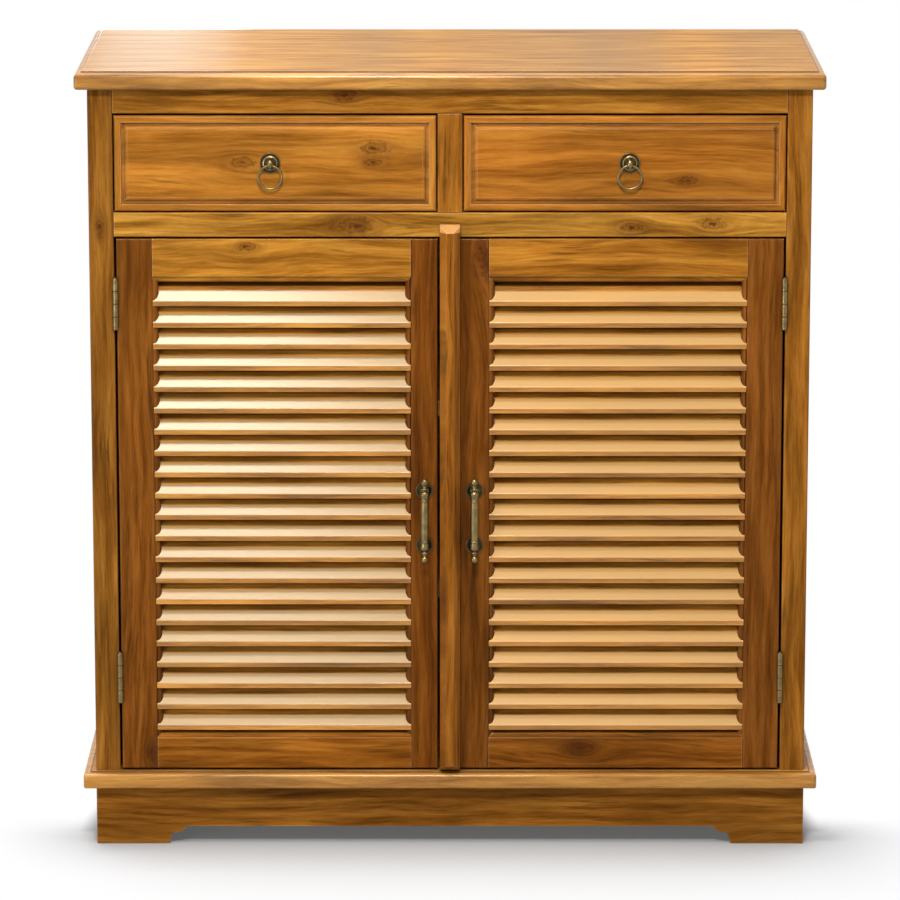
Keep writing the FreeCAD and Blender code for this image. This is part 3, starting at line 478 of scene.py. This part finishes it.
for node, (body, grain, seed, knots) in boards.items():
    slot = slot_for(node)
    straw = slat_painted_light_straws.get(node)
    # how pale the arrises are painted, as wear and as a painted highlight
    arris_wear_and_highlight = 0.0 if straw else 0.25
    if slot == "teak_drawers" and node.endswith("_front"):
        arris_wear_and_highlight = 0.65
    material = lacquered_teak("teak_" + node, body, grain, seed, knots, straw,
                              gloss=0.05 if slot == "teak_top" else 0.0,
                              wander=20.0 if straw else 24.0 if grain == "z" else 34.0,
                              streaks=calm_streaks.get(slot, common_streaks),
                              contrast=calm_contrast if slot in calm_streaks else 1.0,
                              arris_wear_and_highlight=arris_wear_and_highlight, painted_highlight_from=strip_end if node == "cover_strip" else None)
    heavy = None
    if slot == "teak_doors" and node != "cover_strip":
        door = "_".join(node.split("_")[:2])
        heavy = rim_of(door + "_outer_stile", door + "_inner_stile")
    dress_wood(node, [material], heavy=heavy)
for side, body, seed in (("left", "#A66C28", 37), ("right", "#A06423", 57)):
    edging = f"drawer_{side}_edging"
    strips = [lacquered_teak(f"teak_{edging}_{way}", body, grain, seed + i, arris_wear_and_highlight=0.5,
                             streaks=calm_streaks["teak_drawers"], contrast=calm_contrast)
              for i, (way, grain) in enumerate((("level", "x"), ("upright", "z")))]
    dress_wood(edging, strips, heavy=rim_of(edging))


# ---------------------------------------------------------------------------------------
# The fittings: turned brass, in millimetres
# ---------------------------------------------------------------------------------------

def turned(bm, outline, centre, axis, steps=40):
    """Adds a turned shape whose outline is (along, radius) from a centre. The outline starts and
    ends on the axis, and the points that the spin leaves there are merged."""
    axis = Vector(axis)
    side = axis.orthogonal().normalized()
    centre = Vector(centre) * MM
    verts = [bm.verts.new(centre + (axis * along + side * radius) * MM)
             for along, radius in outline]
    edges = [bm.edges.new(pair) for pair in zip(verts, verts[1:])]
    bmesh.ops.spin(bm, geom=verts + edges, cent=centre, axis=axis, angle=2 * math.pi, steps=steps,
                   use_merge=True)
    shell = set(verts)
    for vert in verts:
        reached = [vert]
        while reached:
            for edge in reached.pop().link_edges:
                for other in edge.verts:
                    if other not in shell:
                        shell.add(other)
                        reached.append(other)
    bmesh.ops.remove_doubles(bm, verts=list(shell), dist=0.0008 * MM)


def bead(middle, half, radius, neck, steps=6):
    """The outline of a half-round bead standing on a neck."""
    turns = [math.pi * i / steps for i in range(steps + 1)]
    return [(middle - half * math.cos(t), neck + (radius - neck) * math.sin(t)) for t in turns]


def hoop(bm, centre, radius, wire, steps=56, sides=14):
    """Adds a ring of round wire that stands across Y."""
    centre = Vector(centre) * MM
    turns = [2 * math.pi * i / sides for i in range(sides)]
    wires = [Vector((radius + wire * math.cos(t), wire * math.sin(t), 0)) * MM for t in turns]
    verts = [bm.verts.new(centre + point) for point in wires]
    edges = [bm.edges.new((verts[i], verts[i - 1])) for i in range(sides)]
    bmesh.ops.spin(bm, geom=verts + edges, cent=centre, axis=(0, 1, 0), angle=2 * math.pi,
                   steps=steps, use_merge=True)


def block(bm, low, high):
    """Adds a rectangular block."""
    low, high = Vector(low) * MM, Vector(high) * MM
    size = Matrix.Diagonal([*(high - low), 1.0])
    bmesh.ops.create_cube(bm, size=1.0, matrix=Matrix.Translation((low + high) / 2) @ size)


def brown_between(bm, centre, low, high):
    """Gives the second material to faces this far from a line along Y."""
    for face in bm.faces:
        middle = face.calc_center_median() / MM
        away = math.hypot(middle.x - centre[0], middle.z - centre[2])
        if low < away < high and face.normal.y ** 2 > 0.01:
            face.material_index = 1


def outwards(bm):
    """Turns every face of closed shells outwards."""
    bmesh.ops.recalc_face_normals(bm, faces=bm.faces)
    return bm


brass = antique_brass("antique_brass", "#6E6041", "#86764F")
browned_brass = antique_brass("browned_brass", "#352C1B", "#4C4028")
# zinc-plated steel, stamped: cold grey with a satin shine
steel = plain("zinc_plated_steel", "#8C8E90", "#A9ABAD", 0.38, metallic=1.0)
# brown nylon, moulded: dark, with an even dull sheen
catch_plastic = plain("moulded_nylon", "#3A2616", "#4A3220", 0.5)

handle_z, handle_y, post_offset = 412.0, -205.0, 34.0
finial = [(47.9 - 4.9 * math.cos(math.radians(a)), 4.2 * math.sin(math.radians(a)))
          for a in (30, 50, 70, 90, 110, 130, 150, 168)]
half_grip = [(0, 4.9), (12, 4.8), (23.6, 4.55), *bead(25.4, 1.0, 5.4, 4.5), (26.9, 4.4),
             (29.5, 4.7), (31.8, 5.3), (33.6, 5.5), (35.0, 5.2), (36.2, 4.2), (37.2, 2.7),
             *bead(39.6, 1.7, 4.1, 2.6), (41.8, 2.4), *finial, (52.9, 0)]
grip = [(-53.0, 0)] + [(-along, radius) for along, radius in half_grip[-2:0:-1]] + half_grip
handle_rose = [(0, 0), (0, 10.4), (0.3, 10.8), (1.5, 10.8), (1.9, 10.5), (1.9, 10.0), (1.3, 9.6),
               (1.3, 7.8), (1.9, 7.2), (2.2, 6.6), (2.9, 5.8), (3.9, 5.0), (4.1, 3.9), (4.1, 0)]
post = [(0, 0), (0, 2.8), (8, 2.5), *bead(13.6, 1.3, 3.6, 2.5), (15.2, 2.8), (20, 3.2), (20, 0)]
handle_places = (("door_left", -30.9), ("door_right", 29.6))
for door, x in handle_places:
    bm = bmesh.new()
    turned(bm, grip, (x, handle_y, handle_z), (0, 0, 1))
    for z in (handle_z - post_offset, handle_z + post_offset):
        turned(bm, post, (x, front_y, z), (0, -1, 0), 24)
    new_piece(door + "_handle_turned", outwards(bm), door, [brass],
              [door + "_handle"])
    bm = bmesh.new()
    for z in (handle_z - post_offset, handle_z + post_offset):
        turned(bm, handle_rose, (x, front_y, z), (0, -1, 0))
        brown_between(bm, (x, front_y, z), 5.2, 9.9)
    new_piece(door + "_handle_roses_turned", outwards(bm), door, [brass, browned_brass],
              [door + "_handle_roses"])

pull_x, pull_z, field_y, eye_y = 216.0, 848.0, -184.6, -192.6
ring_radius, ring_wire, ring_drop = 14.1, 1.5, 2.0
rose_steps = [(2.0 + i * 0.3 + bump, 7.6 - i * 1.3 - k * 0.32)
              for i in range(3) for k, bump in enumerate((0.0, 0.42, 0.42, 0.0))]
pull_rose = [(-1.0, 0), (-1.0, 4.0), (0, 4.0), (0, 12.2), (0.3, 12.6), (1.2, 12.6), (1.6, 12.2),
             (1.6, 11.7), (0.9, 11.2), (0.9, 9.2), *bead(1.2, 0.8, 9.0, 8.4)[2:5], (1.9, 8.0),
             *rose_steps, (3.4, 3.6), (4.3, 2.4), (8.0, 2.0), (8.0, 0)]
pull_eye = [(-7.2, 0), (-7.0, 0.9), (-6.0, 1.6), (-4.6, 2.6), (-2.6, 3.6), (-0.6, 4.05),
            (1.4, 4.0), (3.2, 3.4), (4.6, 2.4), (5.6, 1.3), (6.0, 0)]
pull_stem = [(0, 0), (0, 2.0), (18, 2.0), (18, 0)]
for side, x in (("left", -pull_x), ("right", pull_x)):
    drawer = "drawer_" + side
    bm = bmesh.new()
    turned(bm, pull_rose, (x, field_y, pull_z), (0, -1, 0), 56)
    brown_between(bm, (x, field_y, pull_z), 8.8, 11.3)
    brown_between(bm, (x, field_y, pull_z), 6.3, 7.2)
    turned(bm, pull_eye, (x, eye_y, pull_z), (0, 0, 1), 28)
    turned(bm, pull_stem, (x, field_y, pull_z), (0, 1, 0), 20)
    new_piece(drawer + "_pull_turned", outwards(bm), drawer, [brass, browned_brass],
              [drawer + "_pull_plate"])
    bm = bmesh.new()
    hoop(bm, (x, eye_y, pull_z - ring_drop - ring_radius), ring_radius, ring_wire)
    new_piece("ring_" + side + "_round", outwards(bm), "ring_" + side, [brass],
              ["ring_" + side], smooth=60)

# the back panel's pins, along its four edges
pin_head = [(-1.0, 0), (-1.0, 1.3), (0.25, 1.3), (0.45, 0.9), (0.5, 0)]
pin_inset, pin_gaps = 6.0, 6
low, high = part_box("back_panel")
left, right = low.x / MM + pin_inset, high.x / MM - pin_inset
bottom, top = low.z / MM + pin_inset, high.z / MM - pin_inset
bm = bmesh.new()
for share in range(pin_gaps + 1):
    x = (low.x + (high.x - low.x) * share / pin_gaps) / MM
    z = (low.z + (high.z - low.z) * share / pin_gaps) / MM
    for pin_x, pin_z in ((x, top), (x, bottom), (left, z), (right, z)):
        spot = (min(max(pin_x, left), right), high.y / MM, min(max(pin_z, bottom), top))
        turned(bm, pin_head, spot, (0, 1, 0), 12)
new_piece("back_panel_pins", outwards(bm), body_of("back_panel"), [steel])

barrel_x, barrel_y = 403.7, -188.8
hinge_length, hinge_levels = 63.0, (212.0, 677.0)
knuckle, play = hinge_length / 4, 0.15
leaf_width, tail_end = 18.0, -184.9    # the knuckles' tails end a little inside the leaf
door_leaf, frame_leaf = (402.4, 403.6), (403.8, 405.0)    # how far each leaf is from the middle
screw_places = ((8.5, -179.5), (31.5, -173.0), (54.5, -179.5))    # up the leaf, and its depth
turned_knuckle = [(play, 0), (play, 3.1), (0.5, 3.5), (knuckle - 0.5, 3.5), (knuckle - play, 3.1),
                  (knuckle - play, 0)]
turned_pin = [(-32.6, 0), (-32.4, 1.7), (-31.8, 2.3), (-31.5, 2.3), (-31.4, 1.5), (31.4, 1.5),
              (31.5, 2.3), (31.8, 2.3), (32.4, 1.7), (32.6, 0)]
flat_screw = [(-0.4, 0), (-0.4, 2.2), (0.05, 3.0), (0.05, 0.9), (-0.3, 0.7), (-0.3, 0)]


def half_hinges(bm, sign, on_door):
    """Adds one door's two half hinges, for the door or for its post: every other knuckle with its
    tail, the leaf, and the countersunk heads of three screws."""
    leaf = sorted(sign * x for x in (door_leaf if on_door else frame_leaf))
    shown, facing = (sign * door_leaf[1], sign) if on_door else (sign * frame_leaf[0], -sign)
    for level in hinge_levels:
        low = level - hinge_length / 2
        for i in (0, 2) if on_door else (1, 3):
            foot = low + i * knuckle
            turned(bm, turned_knuckle, (sign * barrel_x, barrel_y, foot), (0, 0, 1), 28)
            block(bm, (leaf[0], barrel_y, foot + play), (leaf[1], tail_end, foot + knuckle - play))
        block(bm, (leaf[0], front_y, low), (leaf[1], front_y + leaf_width, low + hinge_length))
        for z, y in screw_places:
            turned(bm, flat_screw, (shown, y, low + z), (facing, 0, 0), 20)


for side, sign in (("left", -1), ("right", 1)):
    bm = bmesh.new()
    half_hinges(bm, sign, on_door=True)
    new_piece(f"door_{side}_hinges_round", outwards(bm), "door_" + side, [brass],
              [f"door_{side}_hinge_leaves"])
bm = bmesh.new()
for sign in (-1, 1):
    half_hinges(bm, sign, on_door=False)
new_piece("frame_hinges_round", outwards(bm), body_of("hinge_frame_leaves"), [brass],
          ["hinge_frame_leaves"])
bm = bmesh.new()
for sign in (-1, 1):
    for level in hinge_levels:
        turned(bm, turned_pin, (sign * barrel_x, barrel_y, level), (0, 0, 1), 24)
new_piece("hinge_pins_capped", outwards(bm), body_of("hinge_pins"), [brass],
          ["hinge_pins"])

# plywood, its face veneer peeled from the log: a broad, quiet figure under a thin lacquer
plywood = lacquered_teak("plywood_face", "#B08A56", "x", 71, wander=46.0, streaks=0.0,
                         contrast=0.45, arris_wear_and_highlight=0.0)
for node, made in nodes.items():
    if made.hide_render:
        continue
    made.data.materials.clear()
    finish = steel if "catch_plate" in node else catch_plastic if "magnet" in node else plywood
    made.data.materials.append(finish)


# ---------------------------------------------------------------------------------------
# Floor, lamps and camera
# ---------------------------------------------------------------------------------------

def seen_rays(tree):
    """1 for what the camera sees itself, in a gloss or through glass, and 0 for the light's own
    paths."""
    path = add(tree, "LightPath")
    seen = add(tree, "Math", path.outputs["Is Camera Ray"], path.outputs["Is Glossy Ray"],
               operation="MAXIMUM")
    return add(tree, "Math", seen, path.outputs["Is Transmission Ray"], operation="MAXIMUM")


def studio_floor():
    """A plain pale floor, lit and shaded close to the object, with a painted shadow where the
    plinth nearly meets it, and plain white further off; the light that it throws back is greyer."""
    bm = bmesh.new()
    bmesh.ops.create_grid(bm, x_segments=1, y_segments=1, size=30.0)
    mesh = bpy.data.meshes.new("floor")
    bm.to_mesh(mesh)
    bm.free()
    made = bpy.data.objects.new("floor", mesh)
    bpy.context.scene.collection.objects.link(made)
    material, tree = new_material("painted_floor")
    seen = seen_rays(tree)
    place = add(tree, "SeparateXYZ", add(tree, "TexCoord").outputs["Object"])
    side = add(tree, "Math", place.outputs[0], operation="ABSOLUTE")
    # how far a spot lies outside the foot: beside it, in front of it and behind it
    beside = add(tree, "MapRange", side, foot_side - 0.02, foot_side + 0.01, 0.0, back_haste)
    behind = add(tree, "Math", place.outputs[1], -foot_front - 0.03, operation="ADD")
    behind = add(tree, "Math", behind, beside, operation="MULTIPLY")
    back = add(tree, "Math", place.outputs[1], foot_back, operation="SUBTRACT")
    back = add(tree, "Math", back, back_haste, operation="MULTIPLY")
    behind = add(tree, "Math", behind, back, operation="MAXIMUM")
    side = add(tree, "Math", side, foot_side, operation="SUBTRACT")
    side = add(tree, "Math", side, side_haste, operation="MULTIPLY")
    front = add(tree, "Math", foot_front, place.outputs[1], operation="SUBTRACT")
    outside = add(tree, "VectorMath", add(tree, "CombineXYZ", side, front, behind),
                  (0.0, 0.0, 0.0), operation="MAXIMUM")
    outside = add(tree, "VectorMath", outside, operation="LENGTH").outputs["Value"]
    glow = add(tree, "MapRange", outside, 0.0, white_reach, floor_glow, 1.0,
               interpolation_type="SMOOTHSTEP")
    glow = add(tree, "Math", seen, glow, operation="MULTIPLY")
    shade = add(tree, "Mix", {0: seen, 6: linear(floor_bounce), 7: linear(floor_near)},
                data_type="RGBA").outputs[2]
    # painted shadow: darkest where the plinth nearly meets the floor
    close = add(tree, "AmbientOcclusion", {"Distance": 0.14}, samples=8)
    close = add(tree, "MapRange", close.outputs["AO"], 0.35, 1.0, 0.45, 0.0)
    shade = add(tree, "Mix", {0: close, 6: shade, 7: linear(floor_painted_shadow)},
                data_type="RGBA").outputs[2]
    paint = add(tree, "BsdfDiffuse", shade)
    white = add(tree, "Emission", (1, 1, 1, 1), 1.0)
    add(tree, "OutputMaterial", add(tree, "MixShader", glow, paint, white))
    mesh.materials.append(material)


def studio_world():
    """Even light from all round, and plain white where it is seen."""
    world = bpy.data.worlds.new("studio")
    bpy.context.scene.world = world
    world.use_nodes = True
    tree = world.node_tree
    tree.nodes.clear()
    strength = add(tree, "Mix", seen_rays(tree), (0.5,) * 3, world_light, 1.0, data_type="FLOAT")
    add(tree, "OutputWorld", add(tree, "Background", (1, 1, 1, 1), strength))


def softbox(name, place, target, size, watts):
    """A rectangular lamp behind warm cloth, aimed at a point."""
    lamp = bpy.data.lights.new(name, "AREA")
    lamp.shape = "RECTANGLE"
    lamp.size, lamp.size_y = size
    lamp.energy = watts
    lamp.color = linear(cloth_tint)[:3]
    made = bpy.data.objects.new(name, lamp)
    made.location = place
    made.rotation_euler = (Vector(target) - Vector(place)).to_track_quat("-Z", "Y").to_euler()
    made.visible_camera = False
    bpy.context.scene.collection.objects.link(made)


studio_floor()
studio_world()
# the main lamp throws the slats' shadows, the overhead one lies as a veil on the left door's upper
# slats, the side one opens the fronts, and the glare comes from behind on to the top's left half
softbox("main", (-0.12, -2.6, 2.75), (0.0, -0.185, 0.45), (0.5, 0.35), main_watts)
softbox("overhead", (-0.6, -1.15, 2.87), (-0.3, -0.185, 0.7), (0.8, 0.4), overhead_watts)
softbox("side", (-2.2, -2.4, 0.5), (0.0, -0.185, 0.42), (0.4, 0.9), side_watts)
softbox("glare", (-0.49, 2.5, 1.34), (-0.3, 0.0, 0.96), (0.24, 0.34), glare_watts)
sun = bpy.data.lights.new("skylight", "SUN")
sun.energy = sky_light
sun.angle = math.radians(35)
made = bpy.data.objects.new("skylight", sun)
made.rotation_euler = (math.radians(-12), math.radians(-5), 0)
bpy.context.scene.collection.objects.link(made)

lens = bpy.data.cameras.new("camera")
lens.lens = camera_lens
lens.clip_end = 100.0
camera = bpy.data.objects.new("camera", lens)
camera.location = camera_place
camera.rotation_euler = (math.radians(90 - camera_pitch), 0.0, 0.0)
bpy.context.scene.collection.objects.link(camera)
bpy.context.scene.camera = camera
bpy.context.scene.view_settings.view_transform = "Standard"
